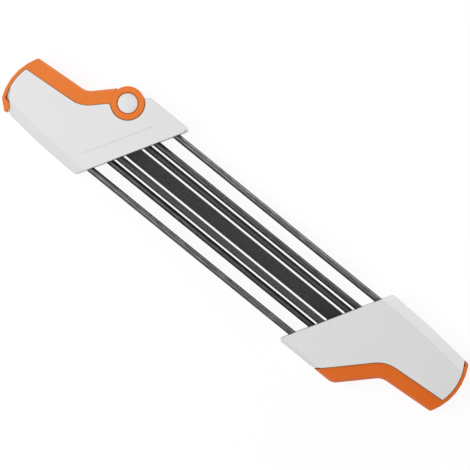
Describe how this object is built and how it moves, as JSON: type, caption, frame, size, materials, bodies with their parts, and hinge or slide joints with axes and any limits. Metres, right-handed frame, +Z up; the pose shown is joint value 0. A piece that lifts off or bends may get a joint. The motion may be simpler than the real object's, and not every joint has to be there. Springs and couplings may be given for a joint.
{
  "type": "chainsaw file guide",
  "caption": "Hand-held guide that holds round and flat files between steel rods over a saw chain, with a moulded head at each end and a lever that clamps the files.",
  "frame": {"origin": "middle of the underside, halfway between the two heads, on the plane that both heads rest on", "axes": "+X along the files from the clamp head to the fixed head, +Y across them towards the lever's hub, +Z up from the underside"},
  "size_m": [0.3599, 0.071, 0.025],
  "materials": {
    "white_plastic": "satin moulded",
    "orange_plastic": "fine moulded texture",
    "rod_steel": "drawn bright steel",
    "file_steel": "cut and hardened file steel",
    "clamp_steel": "machined",
    "dark_plastic": "moulded",
    "screw_steel": "zinc plated"
  },
  "bodies": {
    "guide": {"clamp_head_upper_shell": "white_plastic", "clamp_head_lower_shell": "white_plastic", "file_anvil": "dark_plastic", "fixed_head_upper_shell": "white_plastic", "fixed_head_lower_shell": "white_plastic", "grip_cover": "orange_plastic", "file_socket": "dark_plastic", "outer_rod_rear": "rod_steel", "outer_rod_front": "rod_steel", "guide_rail_rear": "rod_steel", "guide_rail_front": "rod_steel", "round_file_rear": "file_steel", "round_file_front": "file_steel", "flat_file": "file_steel", "clamp_head_screw_1": "screw_steel", "clamp_head_screw_2": "screw_steel", "clamp_head_screw_3": "screw_steel", "fixed_head_screw_1": "screw_steel", "fixed_head_screw_2": "screw_steel", "fixed_head_screw_3": "screw_steel"},
    "lever": {"clamp_lever": "orange_plastic", "hub_cap_upper": "white_plastic", "hub_cap_lower": "white_plastic", "hub_shaft": "clamp_steel"},
    "clamp": {"clamp_yoke": "clamp_steel"}
  },
  "joints": [
    {"name": "lever_swing", "type": "hinge", "parent": "guide", "child": "lever", "pos_m": [-0.1094, 0.023, 0.0125], "axis": [0, 0, -1], "range_deg": [0, 100]},
    {"name": "clamp_lift", "type": "slide", "parent": "guide", "child": "clamp", "axis": [0, 1, 0], "range_m": [0, 0.00123]}
  ],
  "couplings": [
    {"joint": "clamp_lift", "follows": "lever_swing", "m_per_rad": 0.000702}
  ]
}
